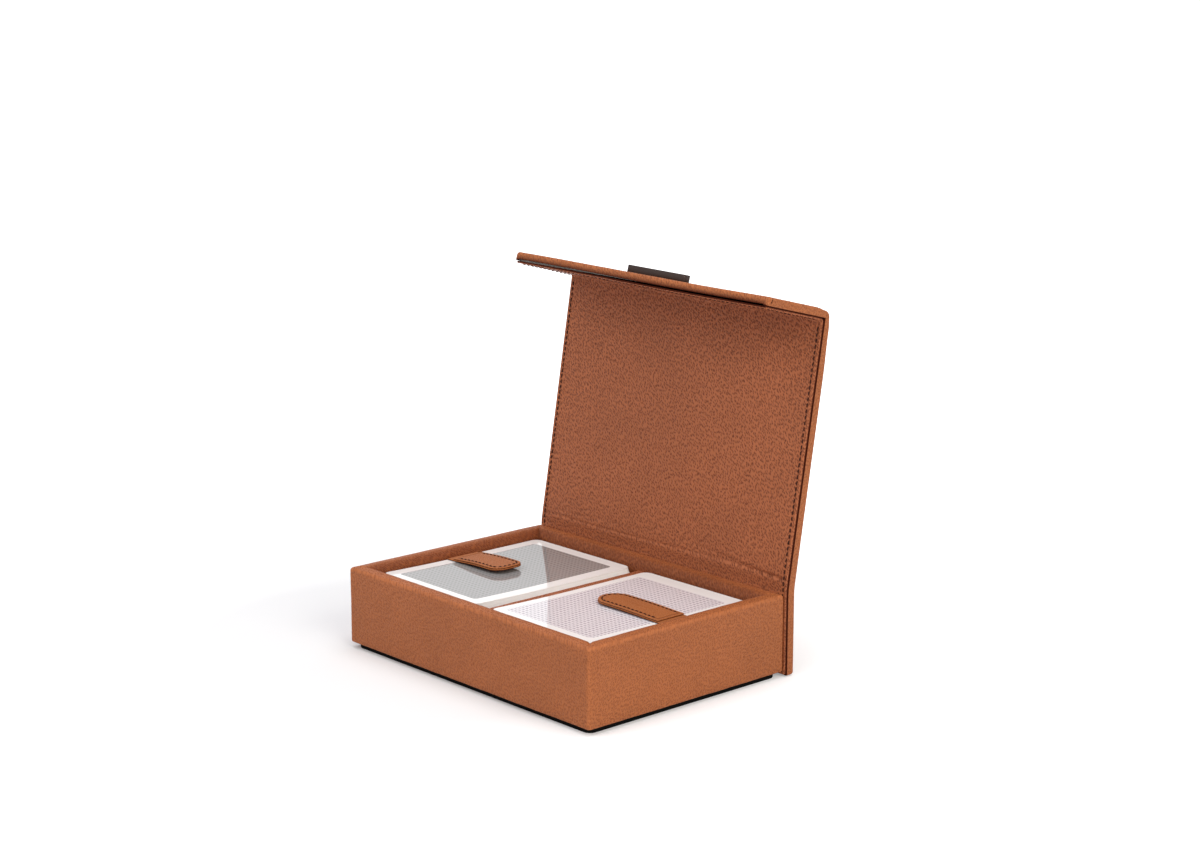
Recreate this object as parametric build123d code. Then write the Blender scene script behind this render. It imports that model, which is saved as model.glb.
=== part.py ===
"""Leather-covered box for two decks of playing cards, standing open.

A low tray with a padded rim holds two decks side by side, with a pull tab over each.
A book-style cover is hinged behind it: a spine glued to the rear wall, a lid panel and
a front flap, joined by leather. Millimetres, +X to the right, +Y to the back, +Z up.
The origin is the middle of the face that the tray stands on.
"""

import math
import os

from build123d import *

# ---- tray ---------------------------------------------------------------
rim_top = 36.0
rim_width = 8.8
rim_outer_radius = 3.0
rim_inner_radius = 4.6
corner_fullness = 0.2
cavity_corner_radius = 1.0
wall_leather = 1.1
wall_board = 3.0
base_pad_height = 2.5
base_pad_inset = 2.2
base_board_thickness = 3.0
infill_clearance = 0.2

# ---- cards and what they lie on -----------------------------------------
card_width = 63.0
card_depth = 88.0
card_thickness = 0.3
card_corner_radius = 3.5
cards_per_deck = 54
deck_side_gap = 1.4
deck_back_gap = 1.0
deck_front_gap = 2.4
deck_rest_gap = 0.05
floor_lining = 1.0
raised_floor_height = 6.6
floor_clearance = 0.1

# ---- divider between the decks -------------------------------------------
divider_thickness = 6.2
divider_to_deck = 1.2
divider_drop = 2.0
divider_edge_radius = 1.5

# ---- pull tabs -----------------------------------------------------------
strap_thickness = 1.0
strap_wall_gap = 0.2
strap_bend_radius = 0.8
strap_bend_rise = 0.3
tab_ply = 0.95
upper_ply_start = 3.0
strap_anchor_gap = 0.2
left_tab_width = 16.4
left_tab_length = 33.4
left_tab_place = 0.0
left_tab_rise = 1.3
left_tab_corner = 5.5
right_tab_width = 15.2
right_tab_length = 43.6
right_tab_place = 2.6
right_tab_rise = 0.5
right_tab_corner = 7.5

# ---- cover: spine, lid and flap ------------------------------------------
cover_side_inset = 0.3
cover_lining = 1.1
cover_board = 2.6
cover_leather = 1.3
lining_inset = 0.8
cover_edge_radius = 1.2
cover_corner_radius = 2.0
fold_depth = 1.2
lid_rest_gap = 0.35
lid_gutter = 4.2
flap_gutter = 1.6
spine_ground_gap = 0.4
flap_front_gap = 3.2
flap_ground_gap = 1.75
lid_open = 99.7
flap_fold = 84.5

# ---- clasp bar and magnets -----------------------------------------------
bar_length = 35.2
bar_width = 3.6
bar_height = 3.4
bar_chamfer = 0.4
bar_from_edge = 13.5
pin_radius = 1.0
pin_spacing = 24.0
pin_depth = 3.0
pin_clearance = 0.02
magnet_radius = 5.0
magnet_thickness = 1.6
magnet_spacing = 92.0
magnet_height = 16.0
magnet_clearance = 0.05

# ---- sizes that follow ---------------------------------------------------
outer_corner_radius = rim_outer_radius + corner_fullness
leather_low = base_pad_height
base_board_low = leather_low + wall_leather
base_board_top = base_board_low + base_board_thickness
divider_half = divider_thickness / 2
deck_inner_x = divider_half + divider_to_deck
deck_outer_x = deck_inner_x + card_width
cavity_width = 2 * (deck_outer_x + deck_side_gap)
cavity_depth = deck_front_gap + card_depth + deck_back_gap
deck_y = cavity_depth / 2 - deck_back_gap - card_depth / 2
tray_width = cavity_width + 2 * rim_width
tray_depth = cavity_depth + 2 * rim_width
cover_width = tray_width - 2 * cover_side_inset
lining_low = base_board_top + raised_floor_height
floor_top = lining_low + floor_lining
deck_low = floor_top + strap_thickness + deck_rest_gap
deck_top = deck_low + cards_per_deck * card_thickness
divider_top = deck_top - divider_drop
panel_thickness = cover_lining + cover_board + cover_leather
hinge_y = tray_depth / 2 + fold_depth
hinge_z = rim_top + lid_rest_gap + fold_depth
lid_span = hinge_y + tray_depth / 2 + flap_front_gap + fold_depth
flap_span = hinge_z - flap_ground_gap
margin = 1.0


# ---- helpers -------------------------------------------------------------
def block(x0, x1, y0, y1, z0, z1):
    """Plain block between two corners."""
    middle = Pos((x0 + x1) / 2, (y0 + y1) / 2, (z0 + z1) / 2)
    return middle * Box(x1 - x0, y1 - y0, z1 - z0)


def slab(width, depth, low, high, corner):
    """Block centred on the tray, with rounded upright corners."""
    return Pos(0, 0, low) * extrude(RectangleRounded(width, depth, corner), amount=high - low)


def across_x(sketch, half_width):
    """Prism along X of an outline drawn in Y and Z, centred on the tray."""
    plane = Plane((-half_width, 0, 0), x_dir=(0, 1, 0), z_dir=(1, 0, 0))
    return extrude(plane * sketch, amount=2 * half_width)


def across_y(sketch, half_width):
    """Prism along Y of an outline drawn in X and Z, centred on Y = 0."""
    plane = Plane((0, half_width, 0), x_dir=(1, 0, 0), z_dir=(0, -1, 0))
    return extrude(plane * sketch, amount=2 * half_width)


def outline(points):
    return make_face(Polyline(*points, close=True))


def turned(point, degrees):
    """A point in a plane, turned about the plane's origin."""
    a = math.radians(degrees)
    u, v = point
    return (u * math.cos(a) - v * math.sin(a), u * math.sin(a) + v * math.cos(a))


def sector(near, far, start, end):
    """Part of a ring about the origin, from one angle to the other."""
    ring = Circle(far) - Circle(near) if near > 0 else Circle(far)
    reach = 2 * far
    corners = [(0, 0)] + [turned((reach, 0), a) for a in (start, (start + end) / 2, end)]
    return ring & outline(corners)


def disc_along_y(x, y, z, radius, length):
    """Disc whose flat faces look along Y, starting at y and reaching to the back."""
    return Pos(x, y + length / 2, z) * Rot(90, 0, 0) * Cylinder(radius, length)


def save(name, *solids):
    """Write one node, as one solid or as a group of separate solids."""
    pieces = [s for part in solids for s in part.solids()]
    shape = pieces[0] if len(pieces) == 1 else Compound(children=pieces)
    export_step(shape, f"parts/{name}.step")


# ---- tray walls ----------------------------------------------------------
def rim_block(inset):
    """The four walls as one ring with a rounded rim, all faces moved in by inset."""
    ring = slab(
        tray_width - 2 * inset,
        tray_depth - 2 * inset,
        leather_low + inset,
        rim_top - inset,
        outer_corner_radius - inset,
    )
    ring = fillet(ring.edges().group_by(Axis.Z)[-1], rim_outer_radius - inset)
    ring -= slab(
        cavity_width + 2 * inset,
        cavity_depth + 2 * inset,
        leather_low,
        rim_top,
        cavity_corner_radius + inset,
    )
    mouth = ring.faces().sort_by(Axis.Z)[-1].inner_wires()[0]
    return fillet(mouth.edges(), rim_inner_radius - inset)


def wall_zones():
    """Four prisms that part the ring into walls, mitred at 45 degrees."""
    a = tray_width / 2 + margin
    b = tray_depth / 2 + margin
    q = rim_width + 2 * margin
    corners = {
        "front": [(-a, -b), (a, -b), (a - q, q - b), (q - a, q - b)],
        "rear": [(a, b), (-a, b), (q - a, b - q), (a - q, b - q)],
        "left": [(-a, b), (-a, -b), (q - a, q - b), (q - a, b - q)],
        "right": [(a, -b), (a, b), (a - q, b - q), (a - q, q - b)],
    }
    return {side: extrude(outline(c), amount=rim_top + margin) for side, c in corners.items()}


def base_slot():
    """Room of the base board, inside the leather."""
    return slab(
        tray_width - 2 * wall_leather,
        tray_depth - 2 * wall_leather,
        base_board_low,
        base_board_top,
        outer_corner_radius - wall_leather,
    )


def magnet_discs(y, z, radius, thickness):
    xs = (-magnet_spacing / 2, magnet_spacing / 2)
    return [disc_along_y(x, y, z, radius, thickness) for x in xs]


def make_walls():
    core = rim_block(wall_leather) - base_slot()
    leather = rim_block(0) - rim_block(wall_leather) - base_slot()
    inside_x = tray_width / 2 - wall_leather - wall_board
    inside_y = tray_depth / 2 - wall_leather - wall_board
    board_inside = block(-inside_x, inside_x, -inside_y, inside_y, leather_low, rim_top)
    boards = core - board_inside
    pads = core & board_inside
    pocket_y = -tray_depth / 2 + wall_leather + wall_board - magnet_thickness
    for pocket in magnet_discs(pocket_y, magnet_height, magnet_radius, magnet_thickness):
        boards -= pocket
    for side, zone in wall_zones().items():
        save(f"{side}_wall_leather", leather & zone)
        save(f"{side}_wall_board", boards & zone)
        save(f"{side}_rim_pad", pads & zone)
    disc_radius = magnet_radius - magnet_clearance
    save("tray_magnets", *magnet_discs(pocket_y, magnet_height, disc_radius, magnet_thickness))


# ---- tray floor and divider ----------------------------------------------
def make_base():
    pad = slab(
        tray_width - 2 * base_pad_inset,
        tray_depth - 2 * base_pad_inset,
        0,
        base_pad_height,
        outer_corner_radius,
    )
    save("base_pad", pad)
    infill = slab(
        cavity_width - 2 * infill_clearance,
        cavity_depth - 2 * infill_clearance,
        leather_low,
        base_board_low,
        cavity_corner_radius,
    )
    save("base_infill_card", infill)
    save("base_board", base_slot())


def floor_panel(side, low, high):
    """One compartment's floor layer, from the wall to the divider."""
    whole = slab(
        cavity_width - 2 * floor_clearance,
        cavity_depth - 2 * floor_clearance,
        low,
        high,
        cavity_corner_radius,
    )
    near = side * (divider_half + floor_clearance)
    far = side * tray_width / 2
    return whole & block(min(near, far), max(near, far), -tray_depth, tray_depth, low, high)


def make_floors():
    for name, side in (("left", -1), ("right", 1)):
        save(f"{name}_raised_floor", floor_panel(side, base_board_top, lining_low))
        save(f"{name}_floor_lining", floor_panel(side, lining_low, floor_top))


def divider_block(inset):
    x = divider_half - inset
    y = cavity_depth / 2
    shape = block(-x, x, -y, y, base_board_top, divider_top - inset)
    top = shape.faces().sort_by(Axis.Z)[-1].edges().filter_by(Axis.Y)
    return fillet(top, divider_edge_radius - inset)


def make_divider():
    board = divider_block(wall_leather)
    save("divider_board", board)
    save("divider_leather", divider_block(0) - board)


# ---- decks and pull tabs -------------------------------------------------
def make_deck(name, side):
    card = extrude(
        RectangleRounded(card_width, card_depth, card_corner_radius),
        amount=card_thickness,
    )
    x = side * (deck_inner_x + card_width / 2)
    stack = [
        Pos(x, deck_y, deck_low + i * card_thickness) * card for i in range(cards_per_deck)
    ]
    save(f"{name}_deck_cards", *stack[:-1])
    save(f"{name}_deck_top_card", stack[-1])


def mirrored(shape, side):
    """Pieces are drawn for the left compartment, and mirrored for the right one."""
    return shape if side < 0 else mirror(shape, Plane.YZ)


def tab_outline(width, length, corner):
    """Plan of a tab along X from its fold, with a rounded tip."""
    plan = Pos(length / 2, 0) * Rectangle(length, width)
    return fillet(plan.vertices().group_by(Axis.X)[-1], corner)


def make_tab(name, side, width, length, place, rise, corner):
    wall_x = -cavity_width / 2 + strap_wall_gap
    fold_x = wall_x + strap_thickness + strap_bend_radius
    fold_z = deck_top + strap_bend_rise
    slope = math.degrees(math.asin(rise / length))
    fold = Pos(fold_x, place, fold_z)

    run = block(
        wall_x + strap_thickness,
        -divider_half - strap_anchor_gap,
        place - width / 2,
        place + width / 2,
        floor_top,
        floor_top + strap_thickness,
    )
    save(f"{name}_strap_run", mirrored(run, side))

    outer_radius = strap_bend_radius + strap_thickness
    upright = outline(
        [
            (-outer_radius, floor_top - fold_z),
            (-strap_bend_radius, floor_top - fold_z),
            (-strap_bend_radius, 0),
            (-outer_radius, 0),
        ]
    )
    bend = sector(strap_bend_radius, outer_radius, 90 + slope, 180)
    riser = fold * (across_y(upright, width / 2) + across_y(bend, width / 2))
    save(f"{name}_strap_riser", mirrored(riser, side))

    plan = tab_outline(width, length, corner)
    lower = Pos(0, 0, strap_bend_radius) * extrude(plan, amount=tab_ply)
    upper = Pos(0, 0, strap_bend_radius + tab_ply) * extrude(plan, amount=tab_ply)
    upper -= block(-margin, upper_ply_start, -width, width, 0, 2 * outer_radius)
    tilt = fold * Rot(0, -slope, 0)
    save(f"{name}_tab_lower_ply", mirrored(tilt * lower, side))
    save(f"{name}_tab_upper_ply", mirrored(tilt * upper, side))


# ---- cover panels --------------------------------------------------------
def panel_pieces(start, end, end_wrapped):
    """Board, lining and leather of a panel, laid flat.

    It lies along +Y from start to end, with its lined face at Z = 0. The leather turns
    over the two long sides, and over the far end where that end is free.
    """
    wrap = cover_leather if end_wrapped else 0.0
    half = cover_width / 2
    board = block(
        cover_leather - half,
        half - cover_leather,
        start,
        end - wrap,
        cover_lining,
        cover_lining + cover_board,
    )
    leather = block(-half, half, start, end, cover_lining, panel_thickness)
    if end_wrapped:
        uprights = leather.edges().filter_by(Axis.Z).group_by(Axis.Y)[-1]
        leather = fillet(uprights, cover_corner_radius)
    outer_face = leather.faces().sort_by(Axis.Z)[-1]
    rounded = [e for e in outer_face.edges() if abs(e.center().Y - start) > margin]
    if not end_wrapped:
        rounded = [e for e in rounded if abs(e.center().Y - end) > margin]
    leather = fillet(rounded, cover_edge_radius) - board
    inset = lining_inset if end_wrapped else 0.0
    lining = block(lining_inset - half, half - lining_inset, start, end - inset, 0, cover_lining)
    return board, lining, leather


def bent_strip(near, far, leg, fold):
    """Outline in Y and Z of a strip that folds about the origin.

    near and far are its distances from the fold line, on the leather's side if positive
    and on the lining's side if negative. It runs from leg below the fold to leg past it,
    turned by fold, where a positive fold closes towards the lining.
    """
    sign = 1 if near + far > 0 else -1
    inner, outer = sorted((abs(near), abs(far)))
    open_side = sign * fold < 0
    cut = math.tan(math.radians(abs(fold) / 2)) if open_side else 0.0
    below = [
        (sign * inner, -leg),
        (sign * outer, -leg),
        (sign * outer, -outer * cut),
        (sign * inner, -inner * cut),
    ]
    above = [turned((u, -v), fold) for u, v in below]
    strip = outline(below) + outline(above)
    if not open_side:
        first = 0 if sign > 0 else 180
        strip += sector(inner, outer, first, first + fold)
    return strip


def hinge_pieces(leg, fold):
    """Lining and leather of one hinge, about a fold line on the X axis."""
    lining_back = cover_lining - fold_depth
    lining = bent_strip(-fold_depth, lining_back, leg, fold)
    leather = bent_strip(0.0, panel_thickness - fold_depth, leg, fold)
    return (
        across_x(lining, cover_width / 2 - lining_inset),
        across_x(leather, cover_width / 2),
    )


# Each panel is placed with the cover standing straight up, then folded to its pose.
upward = Plane((0, -fold_depth, 0), x_dir=(-1, 0, 0), z_dir=(0, 1, 0)).location
downward = Plane((0, -fold_depth, 0), x_dir=(1, 0, 0), z_dir=(0, 1, 0)).location
hinge_line = Pos(0, hinge_y, hinge_z)
lid_pose = hinge_line * Rot(90 - lid_open, 0, 0)
flap_line = lid_pose * Pos(0, 0, lid_span)
flap_pose = flap_line * Rot(flap_fold, 0, 0)


def make_spine():
    board, lining, leather = panel_pieces(lid_gutter, hinge_z - spine_ground_gap, True)
    place = hinge_line * downward
    save("spine_board", place * board)
    save("spine_lining", place * lining)
    save("spine_leather", place * leather)


def make_lid():
    board, lining, leather = panel_pieces(lid_gutter, lid_span - flap_gutter, False)
    place = lid_pose * upward
    save("lid_board", place * board)
    save("lid_lining", place * lining)
    save("lid_leather", place * leather)


def make_hinges():
    lining, leather = hinge_pieces(lid_gutter, 90 - lid_open)
    save("lid_hinge_lining", hinge_line * lining)
    save("lid_hinge_leather", hinge_line * leather)
    lining, leather = hinge_pieces(flap_gutter, flap_fold)
    save("flap_hinge_lining", flap_line * lining)
    save("flap_hinge_leather", flap_line * leather)


def make_flap():
    board, lining, leather = panel_pieces(flap_gutter, flap_span, True)
    place = flap_pose * upward
    bar_y = flap_span - bar_from_edge
    magnet_y = hinge_z - magnet_height
    for x in (-magnet_spacing / 2, magnet_spacing / 2):
        spot = Pos(x, magnet_y, cover_lining + magnet_thickness / 2)
        board -= spot * Cylinder(magnet_radius, magnet_thickness)
    magnets = [
        Pos(x, magnet_y, cover_lining + magnet_thickness / 2)
        * Cylinder(magnet_radius - magnet_clearance, magnet_thickness)
        for x in (-magnet_spacing / 2, magnet_spacing / 2)
    ]
    pins = []
    for x in (-pin_spacing / 2, pin_spacing / 2):
        spot = Pos(x, bar_y, panel_thickness - pin_depth / 2)
        board -= spot * Cylinder(pin_radius + pin_clearance, pin_depth)
        leather -= spot * Cylinder(pin_radius + pin_clearance, pin_depth)
        pins.append(spot * Cylinder(pin_radius, pin_depth))
    bar = block(
        -bar_length / 2,
        bar_length / 2,
        bar_y - bar_width / 2,
        bar_y + bar_width / 2,
        panel_thickness,
        panel_thickness + bar_height,
    )
    bar = chamfer(bar.faces().sort_by(Axis.Z)[-1].edges(), bar_chamfer)
    save("flap_board", place * board)
    save("flap_lining", place * lining)
    save("flap_leather", place * leather)
    save("flap_magnets", *[place * m for m in magnets])
    save("bar_pins", *[place * p for p in pins])
    save("clasp_bar", place * bar)


def main():
    os.makedirs("parts", exist_ok=True)
    make_base()
    make_walls()
    make_floors()
    make_divider()
    make_deck("left", -1)
    make_deck("right", 1)
    make_tab(
        "left", -1, left_tab_width, left_tab_length, left_tab_place, left_tab_rise, left_tab_corner
    )
    make_tab(
        "right",
        1,
        right_tab_width,
        right_tab_length,
        right_tab_place,
        right_tab_rise,
        right_tab_corner,
    )
    make_spine()
    make_lid()
    make_hinges()
    make_flap()


main()
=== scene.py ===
"""Looks of the leather playing card box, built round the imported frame.

Shapes are worked out in millimetres in the frame's axes and written in metres.
"""

from functools import partial
from math import copysign, cos, exp, hypot, pi, radians, sin, sqrt, tan

import bmesh
import bpy
import numpy as np
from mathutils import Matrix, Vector, noise


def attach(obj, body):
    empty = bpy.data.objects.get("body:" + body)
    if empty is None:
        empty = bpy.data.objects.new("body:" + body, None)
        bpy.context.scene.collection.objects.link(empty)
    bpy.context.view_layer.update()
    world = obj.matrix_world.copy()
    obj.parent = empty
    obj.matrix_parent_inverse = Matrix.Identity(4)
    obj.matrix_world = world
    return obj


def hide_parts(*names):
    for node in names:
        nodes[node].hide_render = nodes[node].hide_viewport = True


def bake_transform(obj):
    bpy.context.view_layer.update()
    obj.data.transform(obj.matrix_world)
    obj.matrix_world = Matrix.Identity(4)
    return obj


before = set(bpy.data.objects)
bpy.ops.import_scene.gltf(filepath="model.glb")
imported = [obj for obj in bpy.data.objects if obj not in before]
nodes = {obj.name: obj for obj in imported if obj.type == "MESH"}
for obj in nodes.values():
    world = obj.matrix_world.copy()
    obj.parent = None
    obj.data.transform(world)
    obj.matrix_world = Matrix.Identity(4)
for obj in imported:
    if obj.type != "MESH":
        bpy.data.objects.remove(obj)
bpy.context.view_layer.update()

MM = 0.001

# ---- sizes of the frame, in millimetres
HALF_X, HALF_Y = 77.5, 54.5
RIM_TOP = 36.0
LEATHER_LOW = 2.5
FLOOR = 6.6
FLOOR_SHEET = 14.2  # upper face of the floor lining, which the straps lie on
LEATHER = 1.1
OUTER_R, INNER_R = 1.7, 4.6
RIM_WIDTH = 8.8
CORNER_R = 1.5
COVER_HALF = 77.9
FOLD = 1.2
HINGE_Y, HINGE_Z = 55.7, 37.55
LEAN = radians(9.7)
FLAP_FOLD = radians(84.5)
LID_SPAN = 114.6
FLAP_SPAN = 35.8
SPINE_END = -37.15
SEAM = 2.3  # stitch line from the cover's edge


# ---- mesh helpers
def in_scene(name, data):
    obj = bpy.data.objects.new(name, data)
    bpy.context.scene.collection.objects.link(obj)
    return obj


def new_object(name, verts, faces, material, sharp=38):
    """Mesh object from millimetres, smooth except across sharp edges."""
    mesh = bpy.data.meshes.new(name)
    mesh.from_pydata([tuple(v) for v in np.asarray(verts, float) * MM], [], faces)
    bm = bmesh.new()
    bm.from_mesh(mesh)
    bmesh.ops.recalc_face_normals(bm, faces=bm.faces)
    bm.to_mesh(mesh)
    bm.free()
    mesh.polygons.foreach_set("use_smooth", [True] * len(mesh.polygons))
    if sharp:
        mesh.set_sharp_from_angle(angle=radians(sharp))
    mesh.materials.append(material)
    return in_scene(name, mesh)


def attribute(obj, name, values):
    """Float attribute on the points of a mesh."""
    layer = obj.data.attributes.new(name, "FLOAT", "POINT")
    layer.data.foreach_set("value", np.asarray(values, np.float32))


def keep_rest(obj):
    """Stores where each point rests, so that a grain stays put when the piece bends."""
    co = np.zeros(len(obj.data.vertices) * 3, np.float32)
    obj.data.vertices.foreach_get("co", co)
    layer = obj.data.attributes.new("rest", "FLOAT_VECTOR", "POINT")
    layer.data.foreach_set("vector", co)
    return obj


def loft(rings, closed=False, caps=True):
    """Vertices and faces of rings joined in order. Each ring is a closed loop."""
    rings = np.asarray(rings, float)
    m, n, _ = rings.shape
    faces = []
    for i in range(m if closed else m - 1):
        a, b = i * n, ((i + 1) % m) * n
        for j in range(n):
            k = (j + 1) % n
            faces.append((a + j, a + k, b + k, b + j))
    if caps and not closed:
        half = n // 2
        for base, flip in ((0, False), ((m - 1) * n, True)):
            for j in range(half - 1):
                quad = (base + j, base + j + 1, base + n - 2 - j, base + n - 1 - j)
                faces.append(quad[::-1] if flip else quad)
    return rings.reshape(-1, 3), faces


def softness(p, scale, seed=0.0):
    """Smooth noise of a place in millimetres, from about -1 to 1."""
    return noise.noise(Vector((p[0] / scale + seed, p[1] / scale - seed, p[2] / scale + 3 * seed)))


def arc_points(cx, cy, r, a0, a1, n):
    """Points of an arc between two angles in degrees."""
    return [
        (cx + r * cos(radians(a)), cy + r * sin(radians(a)))
        for a in np.linspace(a0, a1, n)
    ]


def rounded_loop(hx, hy, r, along_x, along_y, arc=5):
    """Points of a rounded rectangle, counter-clockwise, and the wall that each is on."""
    r = max(r, 0.05)
    corners = [(hx - r, -hy + r, -90), (hx - r, hy - r, 0), (-hx + r, hy - r, 90), (-hx + r, -hy + r, 180)]
    points, wall = [], []
    for i, (cx, cy, a) in enumerate(corners):
        pts = arc_points(cx, cy, r, a, a + 90, arc)
        points += pts
        wall += [i] * (arc // 2) + [(i + 1) % 4] * (arc - arc // 2)
        nx, ny, na = corners[(i + 1) % 4]
        start = np.array(pts[-1])
        end = np.array(arc_points(nx, ny, r, na, na, 1)[0])
        for t in (along_y if i % 2 == 0 else along_x):
            points.append(tuple(start + (end - start) * t))
            wall.append((i + 1) % 4)
    return points, wall


def spaced(n):
    """Shares from 0 to 1 without the ends."""
    return np.linspace(0, 1, n + 2)[1:-1]


def quarter(n):
    """Angles of a quarter turn."""
    return np.linspace(0, pi / 2, n)


def mirrored(points):
    """Points of one half, carried across the middle and in the opposite order."""
    return [(-x, z) for x, z in points[::-1]]


def shoulder(half, low, top, r, sides, arc):
    """Left side and rounded upper corner of a section, from below."""
    left = [(-half, z) for z in np.linspace(low, top - r, sides)]
    return left + [(-half + r - r * cos(a), top - r + r * sin(a)) for a in quarter(arc)[1:]]


# ---- materials
def node_material(name):
    mat = bpy.data.materials.new(name)
    mat.use_nodes = True
    tree = mat.node_tree
    return mat, tree, tree.nodes["Principled BSDF"]


def add(tree, kind, **sockets):
    node = tree.nodes.new(kind)
    for key, value in sockets.items():
        node.inputs[key.replace("_", " ")].default_value = value
    return node


def link(source, socket):
    socket.id_data.links.new(source, socket)


def noise_texture(tree, place, scale, detail, rough=0.5):
    node = add(tree, "ShaderNodeTexNoise", Scale=scale, Detail=detail, Roughness=rough)
    link(place, node.inputs["Vector"])
    return node


def mapped(tree, place, **values):
    node = add(tree, "ShaderNodeMapping", **values)
    link(place, node.inputs["Vector"])
    return node.outputs[0]


def relief(tree, height, strength, distance, socket):
    """Bump from a height, on the shader's normal or on its coat's."""
    bump = add(tree, "ShaderNodeBump", Strength=strength, Distance=distance)
    link(height, bump.inputs["Height"])
    link(bump.outputs[0], socket)


def object_place(tree):
    return tree.nodes.new("ShaderNodeTexCoord").outputs["Object"]


def attr_node(tree, name):
    node = tree.nodes.new("ShaderNodeAttribute")
    node.attribute_name = name
    return node


def ramp(tree, source, stops):
    node = tree.nodes.new("ShaderNodeValToRGB")
    elements = node.color_ramp.elements
    while len(elements) < len(stops):
        elements.new(0.5)
    for element, (place, colour) in zip(elements, stops):
        element.position = place
        element.color = (*colour, 1) if len(colour) == 3 else colour
    link(source, node.inputs[0])
    return node.outputs[0]


def grey(v):
    return (v, v, v)


def spots(tree, place, scale, randomness, inner, outer):
    """Flat pattern of round spots: 1 in the middle of each and 0 between them."""
    cells = add(tree, "ShaderNodeTexVoronoi", Scale=scale, Randomness=randomness)
    cells.voronoi_dimensions = "2D"
    link(place, cells.inputs["Vector"])
    return ramp(tree, cells.outputs["Distance"], [(inner, grey(1.0)), (outer, grey(0.0))])


def mix_colour(tree, factor, a, b, kind="MIX"):
    node = tree.nodes.new("ShaderNodeMix")
    node.data_type = "RGBA"
    node.blend_type = kind
    for socket, value in ((node.inputs[0], factor), (node.inputs[6], a), (node.inputs[7], b)):
        if isinstance(value, bpy.types.NodeSocket):
            link(value, socket)
        elif isinstance(value, (int, float)):
            socket.default_value = value
        else:
            socket.default_value = (*value, 1)
    return node.outputs[2]


def maths(tree, operation, a, b=None, clamp=False):
    node = tree.nodes.new("ShaderNodeMath")
    node.operation = operation
    node.use_clamp = clamp
    for socket, value in zip(node.inputs, (a, b)):
        if isinstance(value, bpy.types.NodeSocket):
            link(value, socket)
        elif value is not None:
            socket.default_value = value
    return node.outputs[0]


def times(tree, a, b):
    return maths(tree, "MULTIPLY", a, b)


def leather(name, base, dark, grain_mm, depth, pits, streaks=False):
    """Grained leather: small dark pits between soft pebbles, fine pores and uneven dye."""
    mat, tree, shader = node_material(name)
    rest = attr_node(tree, "rest").outputs["Vector"]
    bend = tree.nodes.new("ShaderNodeVectorMath")
    bend.operation = "MULTIPLY_ADD"
    link(noise_texture(tree, rest, 420.0 / grain_mm, 2.0).outputs["Color"], bend.inputs[0])
    bend.inputs[1].default_value = (0.0009 * grain_mm,) * 3
    link(rest, bend.inputs[2])

    # two slanted axes lay one flat pattern of pits on faces of any direction
    spread = tree.nodes.new("ShaderNodeCombineXYZ")
    for socket, axis in ((0, (1.0, 1.0, 0.0)), (1, (0.5, -0.5, 1.0))):
        dot = tree.nodes.new("ShaderNodeVectorMath")
        dot.operation = "DOT_PRODUCT"
        link(bend.outputs[0], dot.inputs[0])
        dot.inputs[1].default_value = axis
        link(dot.outputs["Value"], spread.inputs[socket])
    holes = spots(tree, spread.outputs[0], 1000.0 / grain_mm, 0.9, 0.12, 0.48)
    fine = noise_texture(tree, rest, 3000.0, 3.0, 0.6).outputs["Fac"]
    broad = noise_texture(tree, rest, 38.0, 3.0, 0.55).outputs["Fac"]
    patch = noise_texture(tree, rest, 900.0 / grain_mm, 2.0, 0.7).outputs["Fac"]

    valley = times(tree, holes, ramp(tree, patch, [(0.32, grey(0.55)), (0.58, grey(1.0))]))
    height = maths(tree, "SUBTRACT", times(tree, fine, 0.35), valley)
    height = maths(tree, "ADD", height, times(tree, patch, 0.4))
    shade = times(tree, valley, pits)
    dye = ramp(tree, broad, [(0.3, grey(0)), (0.7, grey(1))])
    tone = mix_colour(tree, dye, [c * 0.93 for c in base], [min(1, c * 1.07) for c in base])
    if streaks:
        slope = attr_node(tree, "slope").outputs["Fac"]
        flow = mapped(tree, attr_node(tree, "flow").outputs["Vector"], Rotation=(0, 0, radians(-48)))
        pulled = mapped(tree, flow, Scale=(420, 1150, 1))
        lines = times(tree, spots(tree, pulled, 1.0, 0.75, 0.10, 0.52), slope)
        height = maths(tree, "SUBTRACT", height, times(tree, lines, 1.4))
        shade = maths(tree, "MAXIMUM", shade, times(tree, lines, 0.9))
        # Painted shade: the rim's inner slope is darkened as a whole, besides its dark grain streaks.
        tone = mix_colour(tree, times(tree, slope, 0.75), tone, (0.55, 0.45, 0.40), "MULTIPLY")
    tone = mix_colour(tree, shade, tone, dark)
    # Wear and painted highlight: where the mask is set, the colour is mixed towards a lighter copy of the leather's
    # colour.
    wear_and_highlight = attr_node(tree, "wear_and_highlight").outputs["Fac"]
    tone = mix_colour(tree, times(tree, wear_and_highlight, 0.5), tone, [min(1, c * 1.45 + 0.012) for c in base])
    # Dark edge paint on cut edges; where the same mask marks the cover's lip, grooves and slits, it is painted
    # shade.
    paint_and_shade = attr_node(tree, "edge").outputs["Fac"]
    link(mix_colour(tree, paint_and_shade, tone, EDGE_PAINT_AND_SHADE), shader.inputs["Base Color"])

    rough = ramp(tree, maths(tree, "ADD", height, 0.5), [(0.1, grey(0.70)), (1.1, grey(0.50))])
    link(maths(tree, "MAXIMUM", rough, times(tree, paint_and_shade, 0.85)), shader.inputs["Roughness"])
    shader.inputs["IOR"].default_value = 1.45
    link(ramp(tree, paint_and_shade, [(0.0, grey(0.27)), (1.0, grey(0.04))]), shader.inputs["Specular IOR Level"])
    relief(tree, height, 0.75 * depth, 0.00024, shader.inputs["Normal"])
    return mat


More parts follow.
